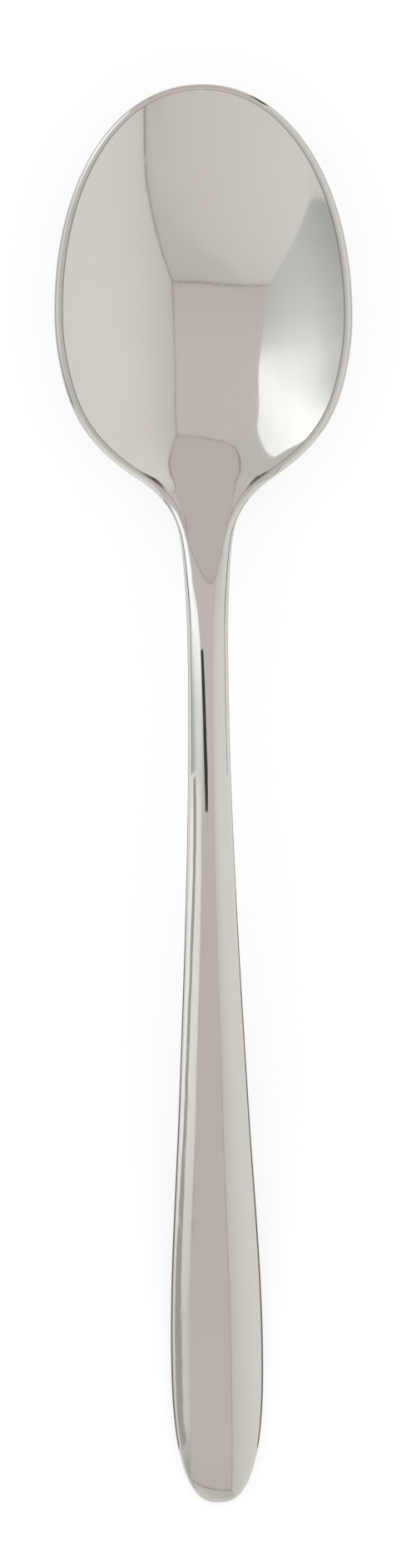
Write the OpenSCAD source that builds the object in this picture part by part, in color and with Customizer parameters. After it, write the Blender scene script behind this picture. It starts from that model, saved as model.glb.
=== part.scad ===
// Coffee spoon of one piece of polished steel, lying as it rests on a table.
// Lengths are in millimetres. The bowl points to +Y and its hollow faces +Z.

/* [Overall] */
// Length from the tip of the bowl to the end of the handle
spoon_length = 138; // [126:1:180]

/* [Bowl outline] */
// Width across the widest place of the bowl
bowl_width = 29; // [28:0.1:31]
// Distance from the tip to the widest place
bowl_reach = 22.5; // [18:0.1:28]
// Squareness of the tip, 2 being an ellipse
tip_power = 2.1; // [1.9:0.05:2.6]
// Distance from the widest place to the shoulder
shoulder_reach = 6.1; // [4:0.1:9]
// Width at the shoulder
shoulder_width = 27.5; // [25:0.1:28.6]
// Taper of each side at the shoulder
shoulder_taper = 0.24; // [0.1:0.02:0.5]
// Distance from the shoulder to the place where the sides turn outward
turn_reach = 9.6; // [7.5:0.1:14]
// Width at that place
turn_width = 13.6; // [9:0.1:18]
// Taper of each side at that place
turn_taper = 1.52; // [1:0.02:2]
// Distance from that place to the throat
throat_reach = 7.6; // [6:0.1:11]
// Width at the throat
throat_width = 4.7; // [4.2:0.1:7]
// Taper of each side at the throat
throat_taper = 0.09; // [0.02:0.01:0.3]

/* [Handle outline] */
// Distance from the throat to the narrowest place of the neck
neck_reach = 11; // [8:0.5:20]
// Width of the neck at its narrowest place
neck_width = 3.9; // [3:0.1:4.6]
// Width of the handle half way along its taper
taper_width = 6.8; // [5:0.1:8.6]
// Distance from the end of the handle to that place
taper_reach = 39; // [28:1:52]
// Slope of each side at that place
taper_slope = 0.05; // [0.02:0.01:0.09]
// Greatest width of the handle
handle_width = 9; // [7.5:0.1:13]
// Distance from the end of the handle to its widest place
end_reach = 14.9; // [9:0.1:22]
// Squareness of the handle's end, 2 being an ellipse
end_power = 2.6; // [1.9:0.05:3.2]

/* [Profile] */
// Depth of the hollow below the rim
bowl_depth = 5.5; // [4:0.1:8]
// Distance from the widest place of the bowl to its deepest place
deepest_reach = 3; // [0.5:0.1:5.5]
// Slope of the hollow where it starts at the tip
tip_wall_slope = 0.5; // [0.35:0.05:0.65]
// Height that the rim gains from the deepest place to the tip
tip_rise = 2.6; // [0:0.1:3]
// Height that the edge loses from the deepest place to where the sides turn outward
turn_drop = 0.4; // [0:0.1:1.5]
// Slope of the edge at that place
turn_slope = 0.1; // [0:0.01:0.2]
// Distance that the hollow runs on behind that place
hollow_overrun = 9; // [5:0.1:10]
// Height that the edge gains from that place to the narrowest place of the neck
neck_rise = 3.9; // [2:0.1:6]
// Slope of the edge at the narrowest place of the neck
neck_slope = 0.1; // [0:0.01:0.2]
// Distance from there to the crest of the handle
crest_reach = 9; // [5:0.5:14]
// Height that the edge gains on that way
crest_rise = 0.45; // [0.1:0.05:1.2]
// Slope of the handle half way down from the crest
handle_slope = 0.18; // [0.15:0.01:0.24]
// Distance from the end of the handle to the place that rests on the table
rest_reach = 8; // [5:0.5:12]
// Height that the edge gains from that place to the end
end_lift = 0.05; // [0:0.05:0.6]

/* [Metal] */
// Thickness at the bottom of the bowl
bowl_wall = 1.3; // [1.1:0.05:2]
// Thickness under the edge line at the throat
throat_metal = 2.7; // [1.5:0.1:3.5]
// Thickness under the edge line at the middle of the taper
taper_metal = 1.6; // [1.2:0.1:2.5]
// Thickness under the edge line at the handle's widest place
handle_metal = 1.35; // [1.15:0.05:2.2]
// Height of the crown on top of the neck
neck_crown = 0.9; // [0.4:0.05:1.6]
// Height of the crown on top of the taper
taper_crown = 1.2; // [0.5:0.05:2.2]
// Height of the crown on top of the handle's widest place
handle_crown = 1.3; // [0.5:0.05:2.4]

/* [Edge] */
// Thickness of the edge all round
edge_thickness = 1; // [0.8:0.05:1.1]
// Height of the upper rounding of the edge
edge_roll = 0.45; // [0.2:0.05:0.7]
// Width of the rounded land on the bowl's rim
rim_land = 0.8; // [0.4:0.05:1.4]
// Width of that land at the tip
tip_land = 0.6; // [0.4:0.05:1.4]
// Width of the upper rounding on the handle
handle_round = 0.35; // [0.2:0.05:0.7]
// Width of the lower rounding all round
under_round = 0.4; // [0.2:0.05:0.7]

/* [Hidden] */
steel = [0.64, 0.61, 0.58];

// Steps of the mesh: round the two ends, along the stretches, and across
end_steps = 12;
stretch_steps = [2, 3, 9, 7, 6, 9, 7];
hollow_steps = 7;
land_steps = 4;
under_roll_steps = 3;
belly_steps = 6;
half_loop = hollow_steps + land_steps + under_roll_steps + belly_steps;

// Places along the spoon, measured from the tip of the bowl
at_widest = bowl_reach;
at_deepest = at_widest + deepest_reach;
at_shoulder = at_widest + shoulder_reach;
at_turn = at_shoulder + turn_reach;
at_throat = at_turn + throat_reach;
at_neck = at_throat + neck_reach;
at_crest = at_neck + crest_reach;
at_taper = spoon_length - taper_reach;
at_handle = spoon_length - end_reach;
at_rest = spoon_length - rest_reach;
places = [at_widest, at_deepest, at_shoulder, at_turn, at_throat, at_neck, at_taper, at_handle];

// Edge heights above the bottom of the bowl
rim_height = bowl_depth + bowl_wall;
turn_height = rim_height - turn_drop;
neck_height = turn_height + neck_rise;
crest_height = neck_height + crest_rise;
rest_share = end_share((end_reach - rest_reach) / end_reach, end_power);
rest_height = edge_thickness + (handle_metal - edge_thickness) * rest_share * rest_share;

// Average slope from one place and value to another
function chord(a, b) = (b[1] - a[1]) / (b[0] - a[0]);

// Curves along the spoon, each a list of [place, value, slope]
width_curve = [
    [at_widest, bowl_width / 2, 0],
    [at_shoulder, shoulder_width / 2, -shoulder_taper],
    [at_turn, turn_width / 2, -turn_taper],
    [at_throat, throat_width / 2, -throat_taper],
    [at_neck, neck_width / 2, 0],
    [at_taper, taper_width / 2, taper_slope],
    [at_handle, handle_width / 2, 0],
];
edge_curve = [
    [0, rim_height + tip_rise, 0],
    [at_deepest, rim_height, 0],
    [at_turn, turn_height, turn_slope],
    [at_neck, neck_height, neck_slope],
    [at_crest, crest_height, 0],
    [(at_crest + at_rest) / 2, (crest_height + rest_height) / 2, -handle_slope],
    [at_rest, rest_height, 0],
    [spoon_length, rest_height + end_lift, 2 * end_lift / rest_reach],
];
hollow_curve = [
    [tip_land, 0, tip_wall_slope],
    [at_deepest, bowl_depth, 0],
    [at_turn + hollow_overrun, 0, 0],
];
keel_depth = bowl_depth + bowl_wall - edge_thickness;
tip_keel_curve = [
    [under_round, 0, tip_wall_slope * keel_depth / bowl_depth],
    [at_deepest, keel_depth, 0],
];
metal_curve = [
    [at_deepest, bowl_wall, 0],
    [at_throat, throat_metal, 0],
    [at_taper, taper_metal, chord([at_throat, throat_metal], [at_handle, handle_metal])],
    [at_handle, handle_metal, 0],
];
crown_curve = [
    [at_turn + throat_reach / 2, 0, 0],
    [at_neck, neck_crown, chord([at_throat, 0], [at_taper, taper_crown])],
    [at_taper, taper_crown, chord([at_neck, neck_crown], [at_handle, handle_crown])],
    [at_handle, handle_crown, 0],
];
land_curve = [[at_shoulder, rim_land, 0], [at_throat, handle_round, 0]];
softness_curve = [[at_shoulder, 1, 0], [at_throat, 2, 0]];

// Smooth curve between two places at the share t of the way
function blend(a, b, t) =
    let (run = b[0] - a[0])
    a[1] * (1 + t * t * (2 * t - 3)) + b[1] * t * t * (3 - 2 * t)
    + run * t * (1 - t) * (a[2] * (1 - t) - b[2] * t);

// Value of a curve at place s, level beyond its two ends
function along(curve, s, i = 0) =
    i < len(curve) - 2 && s > curve[i + 1][0]
    ? along(curve, s, i + 1)
    : let (a = curve[i], b = curve[i + 1])
      blend(a, b, min(1, max(0, (s - a[0]) / (b[0] - a[0]))));

// Sine of an angle as a rounded end needs it, the power 2 being an ellipse
function round_share(angle, power) = pow(max(0, sin(angle)), 2 / power);

// Half width of a rounded end at the share t from its widest place to its end
function end_share(t, power) = pow(max(0, 1 - pow(min(1, max(0, t)), power)), 1 / power);

// Half width of the spoon's outline at place s
function half_width(s) =
    s < at_widest ? bowl_width / 2 * end_share(1 - s / at_widest, tip_power)
    : s > at_handle ? handle_width / 2 * end_share((s - at_handle) / end_reach, end_power)
    : along(width_curve, s);

// Slant of the outline at place s, as length along the edge per length of spoon
slant_step = 0.01;
function slant(s) =
    norm([slant_step, half_width(s + slant_step / 2) - half_width(s - slant_step / 2)]) / slant_step;

// Rows of the mesh, each [stretch, share], the two ends counted as angles
stretch_last = len(stretch_steps) - 1;
rows = concat(
    [for (i = [0:end_steps - 1]) ["tip", 90 * i / end_steps]],
    [for (k = [0:stretch_last]) for (i = [0:stretch_steps[k] - 1])
        ["run", places[k] + (places[k + 1] - places[k]) * i / stretch_steps[k]]],
    [for (i = [0:end_steps]) ["end", 90 - 90 * i / end_steps]]
);
last_row = len(rows) - 1;

// Point [x, s] of the outline on a row, drawn in by the given widths
function outline_point(row, in_bowl, in_tip, in_run, in_end) =
    row[0] == "tip" ? [
        (bowl_width / 2 - in_bowl) * round_share(row[1], tip_power),
        at_widest - (at_widest - in_tip) * round_share(90 - row[1], tip_power),
    ]
    : row[0] == "end" ? [
        (handle_width / 2 - in_end) * round_share(row[1], end_power),
        at_handle + (end_reach - in_end) * round_share(90 - row[1], end_power),
    ]
    : [half_width(row[1]) - in_run * slant(row[1]), row[1]];

function outer_point(row) = outline_point(row, 0, 0, 0, 0);
function inner_point(row) =
    outline_point(row, rim_land, tip_land, along(land_curve, row[1]), handle_round);
function under_point(row) =
    outline_point(row, under_round, under_round, under_round, under_round);

// Share that x is of the half width w, which may shrink to nothing at the tip
least_width = 0.01;
function cross_share(x, w) = x / max(w, least_width);

// Share of a crown or belly that stands at x, falling to nothing at the half width w
function dome(x, s, w) =
    s > at_handle ? (w * w - x * x) / pow(handle_width / 2, 2) : 1 - pow(cross_share(x, w), 2);

// Height of a quarter rounding, 0 at its outer side and 1 at its inner side
function quarter(t) = sqrt(max(0, 1 - (1 - t) * (1 - t)));

// Height of the top at x and s, inside the edge's rounding
function top_height(x, s, inner_x) =
    along(edge_curve, s)
    + along(crown_curve, s) * max(0, dome(x, s, half_width(s)))
    - along(hollow_curve, s)
        * pow(max(0, 1 - pow(cross_share(x, inner_x), 2)), along(softness_curve, s));

// Depth of the belly on the keel line below the edge
function belly_depth(s) =
    s < at_deepest ? along(tip_keel_curve, s)
    : along(hollow_curve, s) + along(metal_curve, s) - edge_thickness;

// Point of the right half on a row at step j, from the top's middle to the keel
function half_point(row, j) =
    let (
        outer = outer_point(row),
        inner = inner_point(row),
        under = under_point(row),
        to_land = j - hollow_steps,
        to_roll = to_land - land_steps,
        to_belly = to_roll - under_roll_steps
    )
    to_land <= 0 ? let (x = inner[0] * sin(90 * j / hollow_steps))
        [x, inner[1], top_height(x, inner[1], inner[0])]
    : to_roll <= 0 ? let (t = 1 - to_land / land_steps, p = outer + (inner - outer) * (1 - cos(90 * t)))
        [p[0], p[1], top_height(p[0], p[1], 0) - edge_roll * (1 - quarter(1 - cos(90 * t)))]
    : to_belly <= 0 ? let (
            t = to_roll / under_roll_steps,
            p = outer + (under - outer) * (1 - cos(90 * t)),
            roll = edge_thickness - edge_roll
        )
        [p[0], p[1], along(edge_curve, p[1]) - edge_thickness + roll * (1 - quarter(1 - cos(90 * t)))]
    : let (x = under[0] * cos(90 * to_belly / belly_steps))
        [x, under[1], along(edge_curve, under[1]) - edge_thickness
            - belly_depth(under[1]) * max(0, dome(x, under[1], under[0]))];

// Points of the right half of every row, then of the left half, with the lowest on the table
half_points = [for (row = rows) for (j = [0:half_loop]) half_point(row, j)];
table = min([for (p = half_points) p[2]]);
points = [
    for (side = [1, -1]) for (p = half_points) [side * p[0], spoon_length / 2 - p[1], p[2] - table]
];

// Number of the point at step k round row i, the halves meeting at the two ends
first_land = hollow_steps;
last_roll = half_loop - belly_steps;
function point_number(i, k) =
    let (
        right = k <= half_loop,
        at_end = i == 0 || i == last_row,
        j = right ? k : 2 * half_loop - k,
        shared = at_end ? min(last_roll, max(first_land, j)) : j,
        left = !right && !at_end
    )
    (left ? len(rows) : 0) * (half_loop + 1) + i * (half_loop + 1) + shared;

triangles = [
    for (i = [0:last_row - 1]) for (k = [0:2 * half_loop - 1])
        let (
            next = (k + 1) % (2 * half_loop),
            a = point_number(i, k),
            b = point_number(i, next),
            c = point_number(i + 1, next),
            d = point_number(i + 1, k)
        )
        for (face = [[a, b, c], [a, c, d]])
            if (face[0] != face[1] && face[1] != face[2] && face[2] != face[0]) face
];

// The whole spoon
module spoon() {
    color(steel) polyhedron(points, triangles, convexity = 6);
}

spoon();
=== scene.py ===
"""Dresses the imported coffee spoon: its polished surface, the floor and a white light tent.

Lengths are in metres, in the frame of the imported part: +Y points to the tip of the bowl, +Z up
out of its hollow, and the spoon lies on the floor at z = 0. Places along the spoon are measured
from the tip of the bowl.
"""

from __future__ import annotations

import logging
import math
from dataclasses import dataclass, fields
from enum import Enum
from types import SimpleNamespace
from typing import Any, NamedTuple, Sequence, Union

import bpy
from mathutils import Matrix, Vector

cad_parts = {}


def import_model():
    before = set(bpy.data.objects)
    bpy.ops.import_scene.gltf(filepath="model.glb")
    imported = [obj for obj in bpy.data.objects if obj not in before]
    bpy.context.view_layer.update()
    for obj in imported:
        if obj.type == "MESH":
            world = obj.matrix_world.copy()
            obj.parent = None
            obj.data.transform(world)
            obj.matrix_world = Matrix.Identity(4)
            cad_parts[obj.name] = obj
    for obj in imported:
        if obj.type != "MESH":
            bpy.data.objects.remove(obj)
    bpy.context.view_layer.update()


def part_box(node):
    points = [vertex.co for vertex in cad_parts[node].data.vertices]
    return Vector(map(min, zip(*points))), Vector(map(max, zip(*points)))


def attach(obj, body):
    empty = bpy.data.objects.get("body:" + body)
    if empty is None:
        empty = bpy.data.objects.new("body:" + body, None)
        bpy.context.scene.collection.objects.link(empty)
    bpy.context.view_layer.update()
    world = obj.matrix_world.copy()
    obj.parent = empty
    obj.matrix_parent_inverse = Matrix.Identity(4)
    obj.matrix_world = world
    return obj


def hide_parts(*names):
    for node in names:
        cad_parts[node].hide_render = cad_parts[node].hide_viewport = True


LOG = logging.getLogger("coffee_spoon")

MM = 0.001
UM = 0.000001
QUARTER_TURN = math.pi / 2
TENT_HEIGHT = 6.0
WHITE = (1.0, 1.0, 1.0, 1.0)
PAINTED_SHADE_ATTRIBUTE = "crease"

Socket = bpy.types.NodeSocket
Colour = tuple[float, float, float]
Tint = tuple[float, float, float, float]
Direction = tuple[float, float, float]
Outline = tuple[tuple[float, ...], ...]


class Field:
    """A number in a node tree, which the usual operators extend with Math nodes."""

    def __init__(self, wiring: Wiring, socket: Socket) -> None:
        """Keeps the tree's wiring and the socket that puts the number out."""
        self.wiring = wiring
        self.socket = socket

    def __add__(self, other: Number) -> Field:
        """Sum of two numbers."""
        return self.wiring.math("ADD", self, other)

    def __sub__(self, other: Number) -> Field:
        """Difference of two numbers."""
        return self.wiring.math("SUBTRACT", self, other)

    def __rsub__(self, other: Number) -> Field:
        """Difference of a plain number and a field."""
        return self.wiring.math("SUBTRACT", other, self)

    def __mul__(self, other: Number) -> Field:
        """Product of two numbers."""
        return self.wiring.math("MULTIPLY", self, other)

    def __truediv__(self, other: Number) -> Field:
        """Quotient of two numbers."""
        return self.wiring.math("DIVIDE", self, other)

    def __rtruediv__(self, other: Number) -> Field:
        """Quotient of a plain number and a field."""
        return self.wiring.math("DIVIDE", other, self)

    def __pow__(self, power: Number) -> Field:
        """Power of a number that isn't below 0."""
        return self.wiring.math("POWER", self, power)

    def __neg__(self) -> Field:
        """The number with its sign turned."""
        return self.wiring.math("MULTIPLY", self, -1.0)

    __radd__ = __add__
    __rmul__ = __mul__


Number = Union[Field, float]


class Wiring:
    """Adds nodes to one node tree and joins their sockets."""

    def __init__(self, tree: bpy.types.NodeTree) -> None:
        """Keeps the tree that the nodes go into."""
        self.tree = tree

    def feed(self, socket: Socket, value: Any) -> None:
        """Links a field or an output to an input, or sets a plain value on it.

        Args:
            socket: The input.
            value: A Field, an output socket or a plain value.
        """
        if isinstance(value, Field):
            value = value.socket
        if isinstance(value, Socket):
            self.tree.links.new(value, socket)
        else:
            socket.default_value = value

    def node(
        self, kind: str, inputs: dict[str, Any] | None = None, **settings: Any
    ) -> bpy.types.Node:
        """Adds a node.

        Args:
            kind: Blender's name of the node type.
            inputs: Values for its inputs, by the inputs' names.
            **settings: Values for its properties.

        Returns:
            The new node.
        """
        node = self.tree.nodes.new(kind)
        for name, value in settings.items():
            setattr(node, name, value)
        for name, value in (inputs or {}).items():
            self.feed(node.inputs[name], value)
        return node

    def field(
        self, kind: str, output: str, inputs: dict[str, Any] | None = None, **settings: Any
    ) -> Field:
        """Adds a node and gives one of its outputs as a number.

        Args:
            kind: Blender's name of the node type.
            output: Name of the output.
            inputs: Values for its inputs, by the inputs' names.
            **settings: Values for its properties.

        Returns:
            The output as a field.
        """
        return Field(self, self.node(kind, inputs, **settings).outputs[output])

    def math(self, operation: str, *values: Number, clamp: bool = False) -> Field:
        """Adds a Math node.

        Args:
            operation: Blender's name of the operation.
            *values: The numbers that it works on, in order.
            clamp: Whether the result is kept between 0 and 1.

        Returns:
            The result.
        """
        node = self.node("ShaderNodeMath", operation=operation, use_clamp=clamp)
        for socket, value in zip(node.inputs, values):
            self.feed(socket, value)
        return Field(self, node.outputs[0])

    def share(self, value: Number, start: Number, end: Number) -> Field:
        """How far a value is on the way from start to end, kept between 0 and 1."""
        return self.math("DIVIDE", value - start, end - start, clamp=True)

    def sine(self, angle: Number) -> Field:
        """Sine of an angle, not below 0."""
        return self.math("MAXIMUM", self.math("SINE", angle), 0.0)

    def cosine(self, angle: Number) -> Field:
        """Cosine of an angle, not below 0."""
        return self.math("MAXIMUM", self.math("COSINE", angle), 0.0)


def shader_wiring(owner: bpy.types.Material | bpy.types.World) -> Wiring:
    """Empties the node tree of a material or a world.

    Args:
        owner: The material or world.

    Returns:
        Wiring for the empty tree.
    """
    owner.use_nodes = True
    owner.node_tree.nodes.clear()
    return Wiring(owner.node_tree)


def add_object(name: str, data: bpy.types.Mesh | bpy.types.Camera) -> bpy.types.Object:
    """Adds an object to the scene, at the origin.

    Args:
        name: Name of the object.
        data: Its mesh or camera.

    Returns:
        The object.
    """
    item = bpy.data.objects.new(name, data)
    bpy.context.scene.collection.objects.link(item)
    return item


def flat_object(
    name: str, faces: Sequence[Sequence[Vector]], material: bpy.types.Material
) -> bpy.types.Object:
    """Adds an object of flat faces to the scene.

    Args:
        name: Name of the object.
        faces: The corners of each face.
        material: Its finish.

    Returns:
        The object.
    """
    points: list[Vector] = []
    numbers = []
    for face in faces:
        numbers.append(list(range(len(points), len(points) + len(face))))
        points += face
    mesh = bpy.data.meshes.new(name)
    mesh.from_pydata(points, [], numbers)
    mesh.materials.append(material)
    return add_object(name, mesh)


class Station(NamedTuple):
    """One place of a curve along the spoon, with the value, slope and bend it has there."""

    place: Number
    value: Number
    slope: Number = 0.0
    bend: Number = 0.0


class StretchKind(Enum):
    """How a curve passes its stations."""

    OUTLINE = "Outline stretch"
    PROFILE = "Profile stretch"


STATION_INPUTS = ("Place", "Value", "Slope", "Bend")


def stretch_group(kind: StretchKind) -> bpy.types.NodeTree:
    """Builds the group that carries a curve from one station to the next.

    An outline meets the stations' values and slopes with a cubic. A profile meets their bends
    too, with a quintic, so that reflections run over a station without a kink.

    Args:
        kind: Outline or profile.

    Returns:
        The group, which puts out what the curve gains from its start to the given place.
    """
    tree = bpy.data.node_groups.new(kind.value, "GeometryNodeTree")
    names = ["Place"] + [f"{end} {name}" for end in ("Start", "End") for name in STATION_INPUTS]
    for name in names:
        tree.interface.new_socket(name, in_out="INPUT", socket_type="NodeSocketFloat")
    tree.interface.new_socket("Gain", in_out="OUTPUT", socket_type="NodeSocketFloat")
    wires = Wiring(tree)
    given = wires.node("NodeGroupInput")
    place, *ends = [Field(wires, given.outputs[name]) for name in names]
    count = len(STATION_INPUTS)
    start, end = Station(*ends[:count]), Station(*ends[count:])
    run = end.place - start.place
    t = wires.share(place, start.place, end.place)
    rest = 1.0 - t
    cube = t * t * t
    if kind is StretchKind.OUTLINE:
        rise = t * t * (3.0 - 2.0 * t)
        leave, arrive = t * rest * rest, -(t * t * rest)
    else:
        rise = cube * (10.0 + t * (6.0 * t - 15.0))
        leave, arrive = t - cube * (6.0 + t * (3.0 * t - 8.0)), cube * (t * (7.0 - 3.0 * t) - 4.0)
    gain = (end.value - start.value) * rise + run * (start.slope * leave + end.slope * arrive)
    if kind is StretchKind.PROFILE:
        bend_out, bend_in = t * t * rest * rest * rest * 0.5, cube * rest * rest * 0.5
        gain = gain + run * run * (start.bend * bend_out + end.bend * bend_in)
    wires.node("NodeGroupOutput", {"Gain": gain})
    return tree


@dataclass(frozen=True)
class SpoonSizes:
    """Sizes of the spoon; length and bowl_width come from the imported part."""

    length: float
    bowl_width: float
    bowl_reach: float = 22.2 * MM
    tip_power: float = 2.1
    shoulder_reach: float = 6.1 * MM
    shoulder_width: float = 27.5 * MM
    shoulder_taper: float = 0.24
    turn_reach: float = 9.6 * MM
    turn_width: float = 13.6 * MM
    turn_taper: float = 1.52
    throat_reach: float = 7.6 * MM
    throat_width: float = 4.7 * MM
    throat_taper: float = 0.09
    neck_reach: float = 11.0 * MM
    neck_width: float = 3.9 * MM
    taper_reach: float = 39.0 * MM
    taper_width: float = 6.8 * MM
    taper_slope: float = 0.05
    handle_width: float = 9.0 * MM
    end_reach: float = 14.9 * MM
    end_power: float = 2.6
    bowl_depth: float = 5.5 * MM
    bowl_bend: float = 0.06 / MM
    deepest_reach: float = 3.0 * MM
    tip_wall_slope: float = 0.4
    tip_wall_bend: float = 0.02 / MM
    tip_rise: float = 2.6 * MM
    turn_drop: float = 1.078 * MM
    turn_slope: float = 0.1165
    turn_bend: float = 0.072 / MM
    turn_hollow: float = 1.292 * MM
    turn_hollow_slope: float = 0.613
    turn_hollow_bend: float = 0.129 / MM
    hollow_overrun: float = 7.5 * MM
    throat_rise: float = 2.219 * MM
    throat_slope: float = 0.372
    throat_bend: float = 0.029 / MM
    neck_rise: float = 2.36 * MM
    neck_slope: float = 0.103
    neck_bend: float = 0.0133 / MM
    crest_reach: float = 9.0 * MM
    crest_rise: float = 0.42 * MM
    crest_bend: float = 0.02 / MM
    handle_slope: float = 0.18
    rest_reach: float = 8.0 * MM
    rest_height: float = 1.32 * MM
    rest_bend: float = 0.02 / MM
    end_lift: float = 0.05 * MM
    bowl_wall: float = 1.3 * MM
    throat_metal: float = 2.7 * MM
    taper_metal: float = 1.6 * MM
    handle_metal: float = 1.35 * MM
    throat_crown: float = 0.376 * MM
    throat_crown_slope: float = 0.0294
    neck_crown: float = 0.9 * MM
    neck_crown_slope: float = 0.022
    taper_crown: float = 1.08 * MM
    taper_crown_slope: float = 0.006
    handle_crown: float = 1.2 * MM
    edge_thickness: float = 1.0 * MM
    edge_roll: float = 0.45 * MM
    rim_land: float = 0.8 * MM
    tip_land: float = 0.6 * MM
    handle_round: float = 0.35 * MM
    under_round: float = 0.4 * MM


@dataclass(frozen=True)
class MeshSteps:
    """Steps of the spoon's mesh along it, and across each of its halves."""

    tip: int = 56
    run: int = 300
    end: int = 48
    top: int = 44
    land: int = 10
    roll: int = 8
    belly: int = 30

    @property
    def rows(self) -> int:
        """Steps from the tip of the bowl to the end of the handle."""
        return self.tip + self.run + self.end

    @property
    def half_loop(self) -> int:
        """Steps from the middle of the top to the keel."""
        return self.top + self.land + self.roll + self.belly


class SpoonTree:
    """The Geometry Nodes tree that raises the spoon's surface from a flat grid."""

    SLANT_STEP = 1.5 * MM
    WELD = 0.2 * UM
    # The painted shade line inside the bowl's rim: its width in steps, its strength away from the
    # shoulders, and the extra steps and reach of its darker dash at each shoulder's turn.
    CREASE_STEPS = 3.0
    CREASE_SHADE = 0.6
    DASH_STEPS = 9.0
    DASH_REACH = 0.7 * MM

    def __init__(self, steps: MeshSteps, material: bpy.types.Material) -> None:
        """Builds the tree.

        Args:
            steps: Steps of the mesh.
            material: The finish of the whole surface.
        """
        self.steps = steps
        self.material = material
        self.tree = bpy.data.node_groups.new("Spoon surface", "GeometryNodeTree")
        self.sockets = {
            item.name: self.tree.interface.new_socket(
                item.name.replace("_", " ").capitalize(), in_out="INPUT", socket_type="NodeSocketFloat"
            ).identifier
            for item in fields(SpoonSizes)
        }
        self.tree.interface.new_socket("Surface", in_out="OUTPUT", socket_type="NodeSocketGeometry")
        self.wires = Wiring(self.tree)
        self.groups = {kind: stretch_group(kind) for kind in StretchKind}
        given = self.wires.node("NodeGroupInput").outputs
        self.size = SimpleNamespace(
            **{name: Field(self.wires, socket) for name, socket in zip(self.sockets, given)}
        )
        self.at = self._places()
        self._finish(self._raised(self._grid()))

    def apply(self, piece: bpy.types.Object, sizes: SpoonSizes) -> None:
        """Puts the tree on an object as a modifier with the given sizes.

        Args:
            piece: The object.
            sizes: Values for the tree's inputs.
        """
        modifier = piece.modifiers.new("Surface", "NODES")
        modifier.node_group = self.tree
        for name, identifier in self.sockets.items():
            modifier[identifier] = getattr(sizes, name)

    def _places(self) -> SimpleNamespace:
        """Places along the spoon, measured from the tip of the bowl."""
        size = self.size
        shoulder = size.bowl_reach + size.shoulder_reach
        turn = shoulder + size.turn_reach
        throat = turn + size.throat_reach
        neck = throat + size.neck_reach
        return SimpleNamespace(
            widest=size.bowl_reach,
            deepest=size.bowl_reach + size.deepest_reach,
            shoulder=shoulder,
            turn=turn,
            throat=throat,
            neck=neck,
            crest=neck + size.crest_reach,
            taper=size.length - size.taper_reach,
            handle=size.length - size.end_reach,
            rest=size.length - size.rest_reach,
        )

    def _along(self, kind: StretchKind, place: Field, stations: Sequence[Station]) -> Field:
        """Follows a curve to a place.

        Args:
            kind: How the curve passes its stations.
            place: The place along the spoon.
            stations: The curve's stations in order; the curve is level beyond the two ends.

        Returns:
            The curve's value there.
        """
        value: Number = stations[0].value
        for start, end in zip(stations, stations[1:]):
            inputs: dict[str, Number] = {"Place": place}
            for name, station in (("Start", start), ("End", end)):
                inputs |= {f"{name} {part}": given for part, given in zip(STATION_INPUTS, station)}
            step = self.wires.field("GeometryNodeGroup", "Gain", inputs, node_tree=self.groups[kind])
            value = step + value
        return value

    def _half_width(self, place: Field) -> Field:
        """Half width of the outline between the bowl's and the handle's widest places."""
        size, at = self.size, self.at
        return self._along(StretchKind.OUTLINE, place, (
            Station(at.widest, size.bowl_width / 2.0),
            Station(at.shoulder, size.shoulder_width / 2.0, -size.shoulder_taper),
            Station(at.turn, size.turn_width / 2.0, -size.turn_taper),
            Station(at.throat, size.throat_width / 2.0, -size.throat_taper),
            Station(at.neck, size.neck_width / 2.0),
            Station(at.taper, size.taper_width / 2.0, size.taper_slope),
            Station(at.handle, size.handle_width / 2.0),
        ))

    def _edge(self, place: Field) -> Field:
        """Height of the spoon's edge line."""
        size, at = self.size, self.at
        rim = size.bowl_depth + size.bowl_wall
        turn = rim - size.turn_drop
        throat = turn + size.throat_rise
        neck = throat + size.neck_rise
        crest = neck + size.crest_rise
        end_slope = 2.0 * size.end_lift / size.rest_reach
        return self._along(StretchKind.PROFILE, place, (
            Station(0.0, rim + size.tip_rise, 0.0, -size.tip_wall_bend),
            Station(at.deepest, rim),
            Station(at.turn, turn, -size.turn_slope, -size.turn_bend),
            Station(at.throat, throat, size.throat_slope, -size.throat_bend),
            Station(at.neck, neck, size.neck_slope, -size.neck_bend),
            Station(at.crest, crest, 0.0, -size.crest_bend),
            Station((at.crest + at.rest) / 2.0, (crest + size.rest_height) / 2.0, -size.handle_slope),
            Station(at.rest, size.rest_height, 0.0, size.rest_bend),
            Station(size.length, size.rest_height + size.end_lift, end_slope),
        ))

    def _hollow(self, place: Field) -> Field:
        """Depth of the bowl's hollow on the middle line."""
        size, at = self.size, self.at
        return self._along(StretchKind.PROFILE, place, (
            Station(size.tip_land, 0.0, size.tip_wall_slope, -size.tip_wall_bend),
            Station(at.deepest, size.bowl_depth, 0.0, -size.bowl_bend),
            Station(at.turn, size.turn_hollow, -size.turn_hollow_slope, -size.turn_hollow_bend),
            Station(at.turn + size.hollow_overrun, 0.0),
        ))

    def _metal(self, place: Field) -> Field:
        """Thickness of the metal under the edge line or the hollow."""
        size, at = self.size, self.at
        thinning = (size.handle_metal - size.throat_metal) / (at.handle - at.throat)
        return self._along(StretchKind.PROFILE, place, (
            Station(size.tip_land, size.edge_thickness),
            Station(at.deepest, size.bowl_wall),
            Station(at.throat, size.throat_metal),
            Station(at.taper, size.taper_metal, thinning),
            Station(at.handle, size.handle_metal),
        ))

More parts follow.
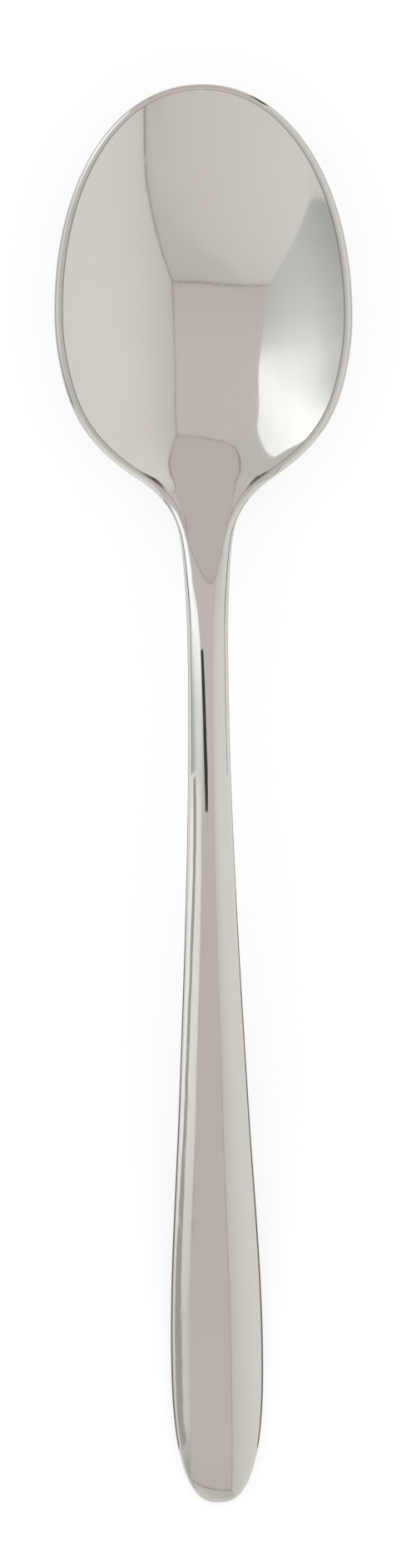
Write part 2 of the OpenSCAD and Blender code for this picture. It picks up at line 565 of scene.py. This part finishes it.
    def _crown(self, place: Field) -> Field:
        """Height of the crown on top of the neck and the handle."""
        size, at = self.size, self.at
        return self._along(StretchKind.PROFILE, place, (
            Station(at.turn, 0.0),
            Station(at.throat, size.throat_crown, size.throat_crown_slope),
            Station(at.neck, size.neck_crown, size.neck_crown_slope),
            Station(at.taper, size.taper_crown, size.taper_crown_slope),
            Station(at.handle, size.handle_crown),
        ))

    def _land(self, place: Field) -> Field:
        """Width of the rolled band along the edge."""
        size, at = self.size, self.at
        return self._along(StretchKind.OUTLINE, place, (
            Station(at.throat, size.rim_land),
            Station(at.neck, size.handle_round),
        ))

    def _coordinate(self, axis: str) -> Field:
        """One coordinate of a point where it stands so far."""
        spot = self.wires.node("GeometryNodeInputPosition").outputs[0]
        return self.wires.field("ShaderNodeSeparateXYZ", axis, {"Vector": spot})

    def _grid(self) -> Socket:
        """Adds the grid that is raised, a unit square about the origin with rows along the spoon."""
        points = {"Vertices X": self.steps.rows + 1, "Vertices Y": 2 * self.steps.half_loop + 1}
        grid = self.wires.node("GeometryNodeMeshGrid", {"Size X": 1.0, "Size Y": 1.0, **points})
        return grid.outputs["Mesh"]

    def _raised(self, grid: Socket) -> Socket:
        """Moves the grid's points to their places on the surface.

        Args:
            grid: The flat grid.

        Returns:
            The surface.
        """
        wires, rows, half_loop = self.wires, float(self.steps.rows), float(self.steps.half_loop)
        row = wires.math("ROUND", (self._coordinate("X") + 0.5) * rows)
        column = wires.math("ROUND", (self._coordinate("Y") + 0.5) * (2.0 * half_loop))
        to_keel = half_loop - column
        side = wires.math("SIGN", to_keel)
        loop = half_loop - wires.math("ABSOLUTE", to_keel)
        x, place, height = self._point(row, loop)
        target = {"X": side * x, "Y": self.size.length / 2.0 - place, "Z": height}
        spot = wires.node("ShaderNodeCombineXYZ", target).outputs[0]
        # Stores the painted shade where the bowl's rim meets its hollow, for the material to darken.
        mark = {"Geometry": grid, "Name": PAINTED_SHADE_ATTRIBUTE, "Value": self._painted_shade(loop, place)}
        marked = wires.node(
            "GeometryNodeStoreNamedAttribute", mark, data_type="FLOAT", domain="POINT"
        ).outputs[0]
        return wires.node("GeometryNodeSetPosition", {"Geometry": marked, "Position": spot}).outputs[0]

    def _painted_shade(self, loop: Field, place: Field) -> Field:
        """How much painted shade a point has where the bowl's rim meets its hollow, from 0 to 1.

        Args:
            loop: Steps from the middle of the top, round the edge, to the keel.
            place: The place along the spoon.

        Returns:
            The painted shade's share, which is widest and fullest in a dash at the shoulder's turn and
            runs out between there and the throat.
        """
        wires, at, reach = self.wires, self.at, self.DASH_REACH
        line = float(self.steps.top)
        begin = wires.share(place, at.turn - reach, at.turn)
        dash = begin * wires.share(place, at.turn + 2.0 * reach, at.turn + reach)
        start = line - self.CREASE_STEPS - self.DASH_STEPS * dash
        inside = wires.share(loop, start, start + 1.0)
        outside = wires.share(loop, line + 1.0, line)
        shade = self.CREASE_SHADE + (1.0 - self.CREASE_SHADE) * dash
        return inside * outside * shade * wires.share(place, at.throat, at.turn)

    def _point(self, row: Field, loop: Field) -> tuple[Field, Field, Field]:
        """Works out a point of the right half.

        Args:
            row: Steps from the tip of the bowl.
            loop: Steps from the middle of the top, round the edge, to the keel.

        Returns:
            The distance from the middle, the place along the spoon and the height.
        """
        wires, size, at, steps = self.wires, self.size, self.at, self.steps
        handle_row = float(steps.tip + steps.run)
        run = at.widest + (at.handle - at.widest) * wires.share(row, float(steps.tip), handle_row)
        tip_turn = QUARTER_TURN * wires.share(row, 0.0, float(steps.tip))
        end_turn = QUARTER_TURN * wires.share(row, float(steps.rows), handle_row)
        tip_across = wires.sine(tip_turn) ** (2.0 / size.tip_power)
        tip_along = wires.cosine(tip_turn) ** (2.0 / size.tip_power)
        end_across = wires.sine(end_turn) ** (2.0 / size.end_power)
        end_along = wires.cosine(end_turn) ** (2.0 / size.end_power)
        half_width = self._half_width(run)
        widening = self._half_width(run + self.SLANT_STEP) - self._half_width(run - self.SLANT_STEP)
        slope = widening / (2.0 * self.SLANT_STEP)
        slant = wires.math("SQRT", slope * slope + 1.0)

        def outline(inset: Number, tip_inset: Number, end_inset: Number) -> tuple[Field, Field]:
            """Point of the outline on the row, drawn in by the insets."""
            across = (half_width - slant * inset) * tip_across * end_across
            along = run - (at.widest - tip_inset) * tip_along + (size.end_reach - end_inset) * end_along
            return across, along

        outer_x, outer_s = outline(0.0, 0.0, 0.0)
        inner_x, inner_s = outline(self._land(run), size.tip_land, size.handle_round)
        under_x, under_s = outline(size.under_round, size.under_round, size.under_round)

        land_step = float(steps.top)
        roll_step = land_step + steps.land
        belly_step = roll_step + steps.roll
        top_turn = QUARTER_TURN * wires.share(loop, 0.0, land_step)
        land_turn = QUARTER_TURN * wires.share(loop, roll_step, land_step)
        roll_turn = QUARTER_TURN * wires.share(loop, roll_step, belly_step)
        belly_turn = QUARTER_TURN * wires.share(loop, belly_step, float(steps.half_loop))

        land_out, roll_in = wires.cosine(land_turn), 1.0 - wires.cosine(roll_turn)
        x = inner_x * wires.sine(top_turn) + (outer_x - inner_x) * land_out
        x = (x + (under_x - outer_x) * roll_in) * wires.cosine(belly_turn)
        place = inner_s + (outer_s - inner_s) * land_out + (under_s - outer_s) * roll_in

        hollow = self._hollow(place)
        end_share = wires.share(place, at.handle, size.length)
        end_width = (1.0 - end_share ** size.end_power) ** (1.0 / size.end_power)
        across = x / half_width
        dome = wires.math("MAXIMUM", end_width * end_width - across * across, 0.0)
        on_top = wires.math("LESS_THAN", loop, roll_step + 0.5)
        belly_rise = wires.sine(belly_turn) * end_across
        height = self._edge(place) + self._crown(place) * dome * on_top
        height = height - hollow * wires.cosine(top_turn) ** 2.0
        height = height - size.edge_roll * (1.0 - wires.sine(land_turn))
        height = height - (size.edge_thickness - size.edge_roll) * wires.sine(roll_turn)
        height = height - (hollow + self._metal(place) - size.edge_thickness) * belly_rise * belly_rise
        return x, place, height

    def _finish(self, surface: Socket) -> None:
        """Lays the surface on the floor, welds its seams and gives it the finish.

        Args:
            surface: The raised grid.
        """
        wires = self.wires
        height = {"Geometry": surface, "Attribute": self._coordinate("Z")}
        lowest = wires.field("GeometryNodeAttributeStatistic", "Min", height)
        drop = wires.node("ShaderNodeCombineXYZ", {"Z": -lowest})
        for kind, inputs in (
            ("GeometryNodeSetPosition", {"Offset": drop.outputs[0]}),
            ("GeometryNodeMergeByDistance", {"Distance": self.WELD}),
            ("GeometryNodeSetShadeSmooth", {}),
            ("GeometryNodeRealizeInstances", {}),
            ("GeometryNodeSetMaterial", {"Material": self.material}),
        ):
            surface = wires.node(kind, {"Geometry": surface, **inputs}).outputs[0]
        wires.node("NodeGroupOutput", {"Surface": surface})


@dataclass(frozen=True)
class PolishedSteel:
    """Mirror-polished stainless steel with the faint marks of polishing and use, and a painted dark
    line of shade inside the bowl's rim.
    """

    colour: Tint = (0.64, 0.61, 0.575, 1.0)
    clouded: Tint = (0.615, 0.585, 0.55, 1.0)
    speck: Tint = (0.30, 0.27, 0.245, 1.0)
    # Painted shade: the dark colour of the line where the bowl's rim meets its hollow.
    crease: Tint = (0.08, 0.07, 0.06, 1.0)
    roughness: float = 0.05
    cloud_roughness: float = 0.03
    mark_roughness: float = 0.09
    cloud_size: float = 9.0 * MM
    cloud_detail: float = 3.0
    mark_width: float = 0.28 * MM
    mark_stretch: float = 0.03
    mark_detail: float = 2.0
    mark_start: float = 0.58
    mark_full: float = 0.74
    speck_spacing: float = 6.0 * MM
    speck_radius: float = 0.09 * MM
    speck_core: float = 0.5
    speck_scarcity: float = 0.6
    wave_size: float = 5.0 * MM
    wave_height: float = 24.0 * UM
    ripple_size: float = 1.4 * MM
    ripple_height: float = 0.9 * UM
    bump_detail: float = 1.0

    def material(self) -> bpy.types.Material:
        """Builds the material.

        Returns:
            A metal whose colour, roughness and bump change over the surface.
        """
        material = bpy.data.materials.new("Polished steel")
        wires = shader_wiring(material)
        spot = wires.node("ShaderNodeTexCoord").outputs["Object"]
        clouds = self._noise(wires, spot, self.cloud_size, self.cloud_detail)
        marks = self._marks(wires, spot)
        specks = self._specks(wires, spot)
        # Painted shade: darkens the line where the bowl's rim meets its hollow, most in a dash at each
        # shoulder.
        crease = wires.field("ShaderNodeAttribute", "Fac", attribute_name=PAINTED_SHADE_ATTRIBUTE)
        tint = self._mix(wires, clouds, self.colour, self.clouded)
        tint = self._mix(wires, specks, tint, self.speck)
        tint = self._mix(wires, crease, tint, self.crease)
        roughness = self.roughness + self.cloud_roughness * clouds + self.mark_roughness * marks
        normal: dict[str, Socket] = {}
        for size, rise in ((self.wave_size, self.wave_height), (self.ripple_size, self.ripple_height)):
            height = self._noise(wires, spot, size, self.bump_detail)
            bump = {"Height": height, "Distance": rise, "Strength": 1.0, **normal}
            normal = {"Normal": wires.node("ShaderNodeBump", bump).outputs[0]}
        look = {"Base Color": tint, "Roughness": roughness, "Metallic": 1.0, **normal}
        metal = wires.node("ShaderNodeBsdfPrincipled", look)
        wires.node("ShaderNodeOutputMaterial", {"Surface": metal.outputs[0]})
        return material

    @staticmethod
    def _noise(wires: Wiring, spot: Socket, size: float, detail: float) -> Field:
        """Soft noise between 0 and 1 with features of the given size."""
        inputs = {"Vector": spot, "Scale": 1.0 / size, "Detail": detail}
        return wires.field("ShaderNodeTexNoise", "Fac", inputs)

    @staticmethod
    def _mix(wires: Wiring, factor: Field, low: Any, high: Any) -> Socket:
        """Mixes two colours by a factor."""
        return wires.node("ShaderNodeMixRGB", {"Fac": factor, "Color1": low, "Color2": high}).outputs[0]

    def _marks(self, wires: Wiring, spot: Socket) -> Field:
        """Mask of the fine lines that polishing leaves along the spoon.

        Args:
            wires: The material's wiring.
            spot: Object coordinates.

        Returns:
            1 on a line and 0 beside it.
        """
        stretch = {"Vector": spot, "Scale": (1.0, self.mark_stretch, 1.0)}
        stretched = wires.node("ShaderNodeMapping", stretch).outputs[0]
        noise = self._noise(wires, stretched, self.mark_width, self.mark_detail)
        return wires.share(noise, self.mark_start, self.mark_full)

    def _specks(self, wires: Wiring, spot: Socket) -> Field:
        """Mask of the few tiny pits in the polish.

        Args:
            wires: The material's wiring.
            spot: Object coordinates.

        Returns:
            1 inside a speck and 0 elsewhere.
        """
        cells = wires.node("ShaderNodeTexVoronoi", {"Vector": spot, "Scale": 1.0 / self.speck_spacing})
        reach = self.speck_radius / self.speck_spacing
        near = wires.share(Field(wires, cells.outputs["Distance"]), reach, reach * self.speck_core)
        chance = wires.field("ShaderNodeSeparateColor", "Red", {"Color": cells.outputs["Color"]})
        return near * wires.math("GREATER_THAN", chance, self.speck_scarcity)


@dataclass(frozen=True)
class Spoon:
    """The coffee spoon, one piece of steel."""

    sizes: SpoonSizes
    finish: PolishedSteel = PolishedSteel()
    steps: MeshSteps = MeshSteps()
    node: str = "spoon"

    def build(self) -> bpy.types.Object:
        """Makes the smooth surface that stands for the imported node.

        Returns:
            The piece as a plain mesh.
        """
        blank = add_object("spoon_blank", bpy.data.meshes.new("spoon_blank"))
        SpoonTree(self.steps, self.finish.material()).apply(blank, self.sizes)
        depsgraph = bpy.context.evaluated_depsgraph_get()
        mesh = bpy.data.meshes.new_from_object(blank.evaluated_get(depsgraph), depsgraph=depsgraph)
        bpy.data.objects.remove(blank)
        mesh.name = "polished_spoon"
        return add_object("polished_spoon", mesh)

    def dress(self, piece: bpy.types.Object) -> None:
        """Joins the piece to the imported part.

        Args:
            piece: The spoon's mesh object.
        """
        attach(piece, "root")
        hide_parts(self.node)


class TentCorner(NamedTuple):
    """Plan of one of the tent's corners at the top and at the foot, in shares of its height."""

    top: tuple[float, float]
    foot: tuple[float, float]


class Wall(Enum):
    """Walls of the light tent, in the order of the corners that they start from."""

    SOUTH = "south"
    RIGHT = "right"
    NORTH = "north"
    LEFT = "left"


@dataclass(frozen=True)
class PanelLight:
    """Light of one panel: colours along a direction, and a strength that fades along another.

    Places are in shares of the unit.
    """

    stops: tuple[tuple[float, Colour], ...]
    toward: Direction = (0.0, 0.0, 1.0)
    start: float = 0.0
    end: float = 1.0
    strength: float = 1.0
    fade: tuple[tuple[float, float], ...] = ((0.0, 1.0), (1.0, 1.0))
    fade_toward: Direction = (0.0, 0.0, 1.0)
    unit: float = TENT_HEIGHT

    @classmethod
    def plain(cls, colour: Colour) -> PanelLight:
        """A light of one colour all over."""
        return cls(((0.0, colour), (1.0, colour)))

    def material(self, name: str) -> bpy.types.Material:
        """Builds the light.

        Args:
            name: Name of the material.

        Returns:
            The emission material.
        """
        material = bpy.data.materials.new(name)
        wires = shader_wiring(material)
        spot = wires.node("ShaderNodeTexCoord").outputs["Object"]
        along = self._distance(wires, spot, self.toward) / self.unit
        across = self._distance(wires, spot, self.fade_toward) / self.unit
        colour = self._ramp(wires, wires.share(along, self.start, self.end), self.stops)
        greys = [(place, (grey, grey, grey)) for place, grey in self.fade]
        strength = Field(wires, self._ramp(wires, across, greys)) * self.strength
        glow = wires.node("ShaderNodeEmission", {"Color": colour, "Strength": strength})
        wires.node("ShaderNodeOutputMaterial", {"Surface": glow.outputs[0]})
        return material

    @staticmethod
    def _distance(wires: Wiring, spot: Socket, way: Direction) -> Field:
        """How far a spot lies along a direction."""
        product = wires.node("ShaderNodeVectorMath", operation="DOT_PRODUCT")
        for socket, value in zip(product.inputs, (spot, way)):
            wires.feed(socket, value)
        return Field(wires, product.outputs["Value"])

    @staticmethod
    def _ramp(wires: Wiring, share: Field, stops: Sequence[tuple[float, Colour]]) -> Socket:
        """Adds a colour ramp.

        Args:
            wires: The material's wiring.
            share: The number that is looked up.
            stops: Places on the ramp and their colours.

        Returns:
            The colour.
        """
        ramp = wires.node("ShaderNodeValToRGB", {"Fac": share})
        elements = ramp.color_ramp.elements
        while len(elements) < len(stops):
            elements.new(1.0)
        for element, (place, colour) in zip(elements, stops):
            element.position = place
            element.color = (*colour, 1.0)
        return ramp.outputs["Color"]


class Axis(Enum):
    """The direction that a flat card faces."""

    ACROSS = 0
    ALONG = 1
    UP = 2


@dataclass(frozen=True)
class Card:
    """A sheet of the stage, given by its light and its corners.

    Corners of two numbers lie in a plane at the level, and corners of three lie where they say.
    """

    name: str
    light: PanelLight
    outline: Outline
    axis: Axis = Axis.UP
    level: float = 0.0
    unit: float = MM

    def corners(self) -> list[Vector]:
        """Works out where the corners are.

        Returns:
            The corners in metres.
        """
        places = []
        for point in self.outline:
            if len(point) == 2:
                point = (*point[:self.axis.value], self.level, *point[self.axis.value:])
            places.append(Vector(point) * self.unit)
        return places

    def bordered(
        self, light: PanelLight, width: float, middle: tuple[float, float], back: float
    ) -> Card:
        """Makes a larger card behind this one, which shows as its border.

        Args:
            light: Light of the border.
            width: How far the outline is pushed outward.
            middle: The point that it is pushed away from.
            back: How far behind the larger card stands.

        Returns:
            The larger card.
        """
        outline = []
        for point in self.outline:
            outward = (Vector(point) - Vector(middle)).normalized()
            outline.append(tuple(Vector(point) + outward * width))
        name, level = f"{self.name}_border", self.level + back
        return Card(name, light, tuple(outline), self.axis, level, self.unit)


def band(middle: Outline) -> Outline:
    """Makes the outline of a band.

    Args:
        middle: Places along the band, with the middle height and half the width at each.

    Returns:
        The upper edge and then the lower edge backwards.
    """
    upper = tuple((place, height + half) for place, height, half in middle)
    lower = tuple((place, height - half) for place, height, half in reversed(middle))
    return upper + lower


@dataclass(frozen=True)
class LightTent:
    """White panels round the spoon that only its polish sees, with dark bars on their seams.

    The tent and the cards at its walls are in shares of its height, and the cards close to the
    spoon in millimetres.
    """

    bar_width: float = 0.045
    bar_inset: float = 0.995
    skirt_slope: float = 0.13
    plan: tuple[TentCorner, ...] = (
        TentCorner((-0.775, -0.47), (-0.745, -0.63)),
        TentCorner((0.325, -0.525), (0.33, -0.525)),
        TentCorner((0.39, 0.82), (0.45, 0.82)),
        TentCorner((-0.735, 0.785), (-0.60, 0.82)),
    )
    dark: PanelLight = PanelLight.plain((0.07, 0.062, 0.055))
    ceiling: PanelLight = PanelLight(
        ((0.0, (0.75, 0.72, 0.70)), (1.0, (0.80, 0.77, 0.755))),
        toward=(0.0, 1.0, 0.0), start=-0.45, end=0.1)
    south: PanelLight = PanelLight(
        ((0.0, (0.96, 0.95, 0.94)), (0.4, (0.89, 0.87, 0.86)), (0.55, (0.85, 0.83, 0.82)),
         (0.67, (0.77, 0.755, 0.745)), (1.0, (0.73, 0.72, 0.71))),
        toward=(0.5, 0.0, 1.0), start=0.3)
    right: PanelLight = PanelLight(
        ((0.3, (1.0, 0.99, 0.98)), (0.5, (0.94, 0.925, 0.91)), (0.65, (0.885, 0.87, 0.86)),
         (0.85, (0.83, 0.82, 0.81)), (1.0, (0.79, 0.77, 0.76))))
    north: PanelLight = PanelLight(((0.0, (0.76, 0.75, 0.74)), (1.0, (0.79, 0.77, 0.755))))
    left: PanelLight = PanelLight(
        ((0.0, (0.453, 0.476, 0.478)), (0.167, (0.487, 0.512, 0.514)), (0.29, (0.53, 0.558, 0.561)),
         (0.375, (0.58, 0.612, 0.616)), (0.458, (0.635, 0.672, 0.678)), (0.54, (0.778, 0.82, 0.828)),
         (0.625, (0.906, 0.956, 0.967)), (0.71, (0.95, 1.0, 1.0)), (0.83, (0.935, 0.985, 1.0)),
         (1.0, (0.88, 0.918, 0.934))),
        toward=(0.0, 1.0, 0.0), start=-0.45, end=0.75, strength=1.7,
        fade=((0.0, 0.45), (0.1, 0.55), (0.2, 0.68), (0.27, 0.79), (0.31, 0.855), (0.36, 0.93),
              (0.42, 0.98), (0.48, 1.0), (0.58, 1.0), (0.68, 0.97), (0.8, 0.935), (0.88, 0.94),
              (1.0, 0.9)),
        fade_toward=(0.0, 0.533, 1.0))
    strip: PanelLight = PanelLight(
        ((0.0, (0.86, 0.87, 0.87)), (0.075, (1.0, 1.0, 1.0)), (0.44, (1.0, 1.0, 0.99)),
         (0.56, (0.92, 0.92, 0.91)), (0.635, (0.88, 0.875, 0.865)), (0.69, (0.82, 0.815, 0.805)),
         (0.75, (0.66, 0.655, 0.645)), (0.81, (0.52, 0.515, 0.505)), (1.0, (0.5, 0.495, 0.485))),
        toward=(0.0, -1.0, 0.0), start=-0.02, end=1.05, strength=1.3,
        fade=((0.0, 1.0), (0.33, 1.0), (0.45, 0.87), (0.62, 0.87), (0.7, 0.84)), unit=100.0 * MM)
    # The north card draws the drop at the foot of the bowl.
    north_card: Card = Card(
        "north_card", PanelLight(((0.0, (0.75, 0.72, 0.69)), (1.0, (0.72, 0.69, 0.66)))),
        ((0.37, 0.905), (0.28, 0.945), (0.12, 0.96), (-0.04, 0.935), (-0.19, 0.885), (-0.285, 0.825),
         (-0.34, 0.74), (-0.355, 0.62), (-0.36, 0.5), (-0.36, 0.06), (0.42, 0.06), (0.38, 0.4)),
        Axis.ALONG, level=0.75, unit=TENT_HEIGHT)
    cards: tuple[Card, ...] = (
        north_card,
        north_card.bordered(dark, width=0.01, middle=(0.03, 0.5), back=0.0025),
        # The strips beside the handle and the grey band on the left one draw the lines on its sides.
        Card("left_strip", strip,
             ((2.0, 6.0), (2.0, 58.0), (-15.0, 62.0), (-25.0, 64.0), (-40.0, 67.5), (-52.0, 69.5),
              (-66.0, 68.0), (-76.0, 66.5), (-108.0, 62.0), (-108.0, 6.0)), Axis.ACROSS, level=-50.0),
        Card("right_strip", PanelLight.plain((1.03, 1.02, 1.0)),
             ((2.0, 2.0), (2.0, 20.0), (-108.0, 20.0), (-108.0, 2.0)), Axis.ACROSS, level=50.0),
        Card("strip_line", PanelLight.plain((0.51, 0.505, 0.495)),
             band(((1.0, 27.0, 4.5), (-5.0, 29.5, 5.5), (-12.0, 31.5, 5.0), (-20.0, 32.5, 4.2),
                   (-26.0, 34.0, 4.0), (-31.0, 35.2, 3.2), (-36.0, 36.7, 3.0), (-41.0, 38.3, 3.0),
                   (-47.0, 39.0, 3.2), (-54.0, 39.0, 3.6), (-58.0, 39.5, 4.2), (-62.0, 39.6, 4.5),
                   (-66.0, 40.2, 4.8), (-69.0, 41.5, 5.0), (-71.0, 43.0, 5.5), (-73.5, 46.0, 7.0),
                   (-77.0, 49.0, 8.0))), Axis.ACROSS, level=-49.5),
        # These three round off the left wall's light at its corners.
        Card("corner_card", PanelLight.plain((0.93, 0.92, 0.91)),
             ((-0.70, 0.61), (-0.57, 0.595), (-0.535, 0.565), (-0.505, 0.518), (-0.478, 0.487),
              (-0.45, 0.458), (-0.42, 0.43), (-0.41, 0.38), (-0.41, 0.02), (-0.70, 0.02)),
             Axis.ACROSS, level=-0.757, unit=0.92 * TENT_HEIGHT),
        Card("left_round", left,
             ((-0.735, 0.785, 0.99), (-0.70, 0.789, 0.89), (-0.672, 0.794, 0.785), (-0.65, 0.798, 0.65),
              (-0.632, 0.802, 0.53), (-0.622, 0.805, 0.43), (-0.62, 0.808, 0.34), (-0.628, 0.811, 0.28),
              (-0.64, 0.79, 0.25), (-0.66, 0.77, 0.5), (-0.715, 0.765, 0.97)), unit=0.97 * TENT_HEIGHT),
        Card("left_foot", north,
             ((-0.60, 0.82, 0.29), (-0.632, 0.811, 0.276), (-0.639, 0.78, 0.27), (-0.643, 0.733, 0.263),
              (-0.647, 0.686, 0.252), (-0.652, 0.645, 0.24), (-0.66, 0.57, 0.21), (-0.67, 0.45, 0.15),
              (-0.67, 0.45, 0.1), (-0.60, 0.83, 0.1)), unit=0.95 * TENT_HEIGHT),
        # The flags draw the streak on the neck's crest and the short mark on the rim.
        Card("neck_flag", dark,
             ((-7.2, 17.5), (-4.3, 17.5), (-3.3, 13.0), (-2.3, 7.0), (-1.65, 3.0), (-1.55, -2.9),
              (-4.1, -2.9)), level=20.0),
        Card("tip_flag", dark,
             ((8.9, 76.7, 6.5), (10.07, 76.11, 6.0), (11.37, 75.5, 6.0), (12.3, 74.6, 6.0),
              (12.2, 74.6, 8.5), (11.98, 74.79, 11.0), (10.79, 73.97, 14.5), (10.23, 74.38, 14.5),
              (9.72, 74.87, 14.2), (9.33, 75.67, 12.0), (8.9, 76.7, 8.5))),
        # The dark sheet under the handle is painted shadow: it stands in for the floor's contact shadow
        # that the handle's edges reflect, and so darkens the lines along them.
        Card("handle_painted_shadow", PanelLight.plain((0.26, 0.25, 0.24)),
             ((-8.0, 26.0), (8.0, 26.0), (8.0, 0.0), (14.0, -20.0), (14.0, -45.0), (7.0, -64.0),
              (-7.0, -64.0), (-14.0, -45.0), (-14.0, -20.0), (-8.0, 0.0)), level=0.1),
    )

    def build(self) -> list[bpy.types.Object]:
        """Makes the panels, the skirting at their feet, the bars on their seams and the cards.

        Returns:
            The stage objects.
        """
        top = [Vector((*corner.top, 1.0)) * TENT_HEIGHT for corner in self.plan]
        foot = [Vector((*corner.foot, 0.0)) * TENT_HEIGHT for corner in self.plan]
        made = [self._sheet("tent_ceiling", [top], self.ceiling)]
        skirting = []
        for index, wall in enumerate(Wall):
            after = (index + 1) % len(top)
            start, end = foot[index], foot[after]
            distance = start.cross(end).length / (end - start).length
            lift = Vector((0.0, 0.0, distance * self.skirt_slope))
            panel = [top[index], top[after], end + lift, start + lift]
            made.append(self._sheet(f"tent_{wall.value}", [panel], getattr(self, wall.value)))
            skirting.append([start, end, end + lift, start + lift])
        made.append(self._sheet("tent_skirting", skirting, self.dark))
        made.append(self._sheet("tent_bars", self._bars(top, foot), self.dark))
        return made + [self._sheet(card.name, [card.corners()], card.light) for card in self.cards]

    def _bars(self, top: Sequence[Vector], foot: Sequence[Vector]) -> list[list[Vector]]:
        """Faces of the bars on the ceiling's south and right edges and on the corner between.

        Args:
            top: The ceiling's corners.
            foot: The corners' feet.

        Returns:
            The corners of each face, a little inside the tent.
        """
        faces = []
        for start, end in ((top[0], top[1]), (top[1], top[2]), (top[1], foot[1])):
            a, b = start * self.bar_inset, end * self.bar_inset
            across = (b - a).cross(a + b).normalized() * (self.bar_width / 2.0)
            faces.append([a - across, b - across, b + across, a + across])
        return faces

    @staticmethod
    def _sheet(name: str, faces: Sequence[Sequence[Vector]], light: PanelLight) -> bpy.types.Object:
        """Makes a stage object of flat faces that only reflections show.

        Args:
            name: Name of the object.
            faces: The corners of each face.
            light: Its light.

        Returns:
            The object.
        """
        sheet = flat_object(name, faces, light.material(name))
        sheet.visible_camera = False
        sheet.visible_diffuse = False
        sheet.visible_shadow = False
        sheet.visible_transmission = False
        return sheet


class WhiteRay(Enum):
    """Rays that see the floor as part of the white background."""

    CAMERA = "Is Camera Ray"
    GLOSSY = "Is Glossy Ray"
    TRANSMISSION = "Is Transmission Ray"


@dataclass(frozen=True)
class Floor:
    """A plain white floor that keeps the spoon's soft shadow."""

    half_size: float = 20.0
    paint: float = 0.25
    glow: float = 0.77

    def build(self) -> bpy.types.Object:
        """Makes the floor.

        Returns:
            The stage object.
        """
        square = ((-1.0, -1.0), (1.0, -1.0), (1.0, 1.0), (-1.0, 1.0))
        edge = [Vector((x, y, 0.0)) * self.half_size for x, y in square]
        floor = flat_object("floor", [edge], self._material())
        return floor

    def _material(self) -> bpy.types.Material:
        """Builds the white paint, part of which glows for the background's rays.

        Returns:
            The material.
        """
        material = bpy.data.materials.new("White floor")
        wires = shader_wiring(material)
        path = wires.node("ShaderNodeLightPath")
        camera, glossy, transmission = (Field(wires, path.outputs[ray.value]) for ray in WhiteRay)
        seen = wires.math("ADD", camera + glossy, transmission, clamp=True)
        grey = (self.paint, self.paint, self.paint, 1.0)
        paint = wires.node("ShaderNodeBsdfDiffuse", {"Color": grey})
        glow = wires.node("ShaderNodeEmission", {"Color": WHITE, "Strength": seen * self.glow})
        both = wires.node("ShaderNodeAddShader")
        wires.feed(both.inputs[0], paint.outputs[0])
        wires.feed(both.inputs[1], glow.outputs[0])
        wires.node("ShaderNodeOutputMaterial", {"Surface": both.outputs[0]})
        return material


@dataclass(frozen=True)
class PhotoCamera:
    """The camera straight above the spoon, turned and framed as in the photograph."""

    lens_mm: float = 200.0
    sensor_mm: float = 36.0
    frame_height: float = 152.5 * MM
    level: float = 5.0 * MM
    target_x: float = -0.155 * MM
    target_y: float = 1.235 * MM
    turn_deg: float = -0.75
    nearest: float = 0.01
    farthest: float = 100.0

    def build(self) -> bpy.types.Object:
        """Makes the camera and gives it to the scene.

        Returns:
            The camera.
        """
        data = bpy.data.cameras.new("photo_camera")
        data.lens = self.lens_mm
        data.sensor_width = self.sensor_mm
        data.clip_start, data.clip_end = self.nearest, self.farthest
        camera = add_object("photo_camera", data)
        distance = self.frame_height * self.lens_mm / self.sensor_mm
        camera.location = (self.target_x, self.target_y, self.level + distance)
        camera.rotation_euler = (0.0, 0.0, math.radians(self.turn_deg))
        bpy.context.scene.camera = camera
        return camera


def light_world(strength: float = 1.0) -> bpy.types.World:
    """Gives the scene a plain white world.

    Args:
        strength: Its strength, 1 being white.

    Returns:
        The world.
    """
    world = bpy.data.worlds.new("White world")
    wires = shader_wiring(world)
    sky = wires.node("ShaderNodeBackground", {"Color": WHITE, "Strength": strength})
    wires.node("ShaderNodeOutputWorld", {"Surface": sky.outputs[0]})
    bpy.context.scene.world = world
    return world


def main() -> None:
    """Builds the spoon and its stage in order."""
    logging.basicConfig(level=logging.INFO, format="%(message)s")
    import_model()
    low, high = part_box(Spoon.node)

    spoon = Spoon(SpoonSizes(length=high.y - low.y, bowl_width=high.x - low.x))
    piece = spoon.build()
    spoon.dress(piece)
    LOG.info("%s: %d faces", piece.name, len(piece.data.polygons))
    for sheet in (Floor().build(), *LightTent().build()):
        LOG.info("stage: %s", sheet.name)
    LOG.info("world: %s", light_world().name)
    LOG.info("camera: %s", PhotoCamera().build().name)
    bpy.context.scene.view_settings.view_transform = "Standard"


if __name__ == "__main__":
    main()
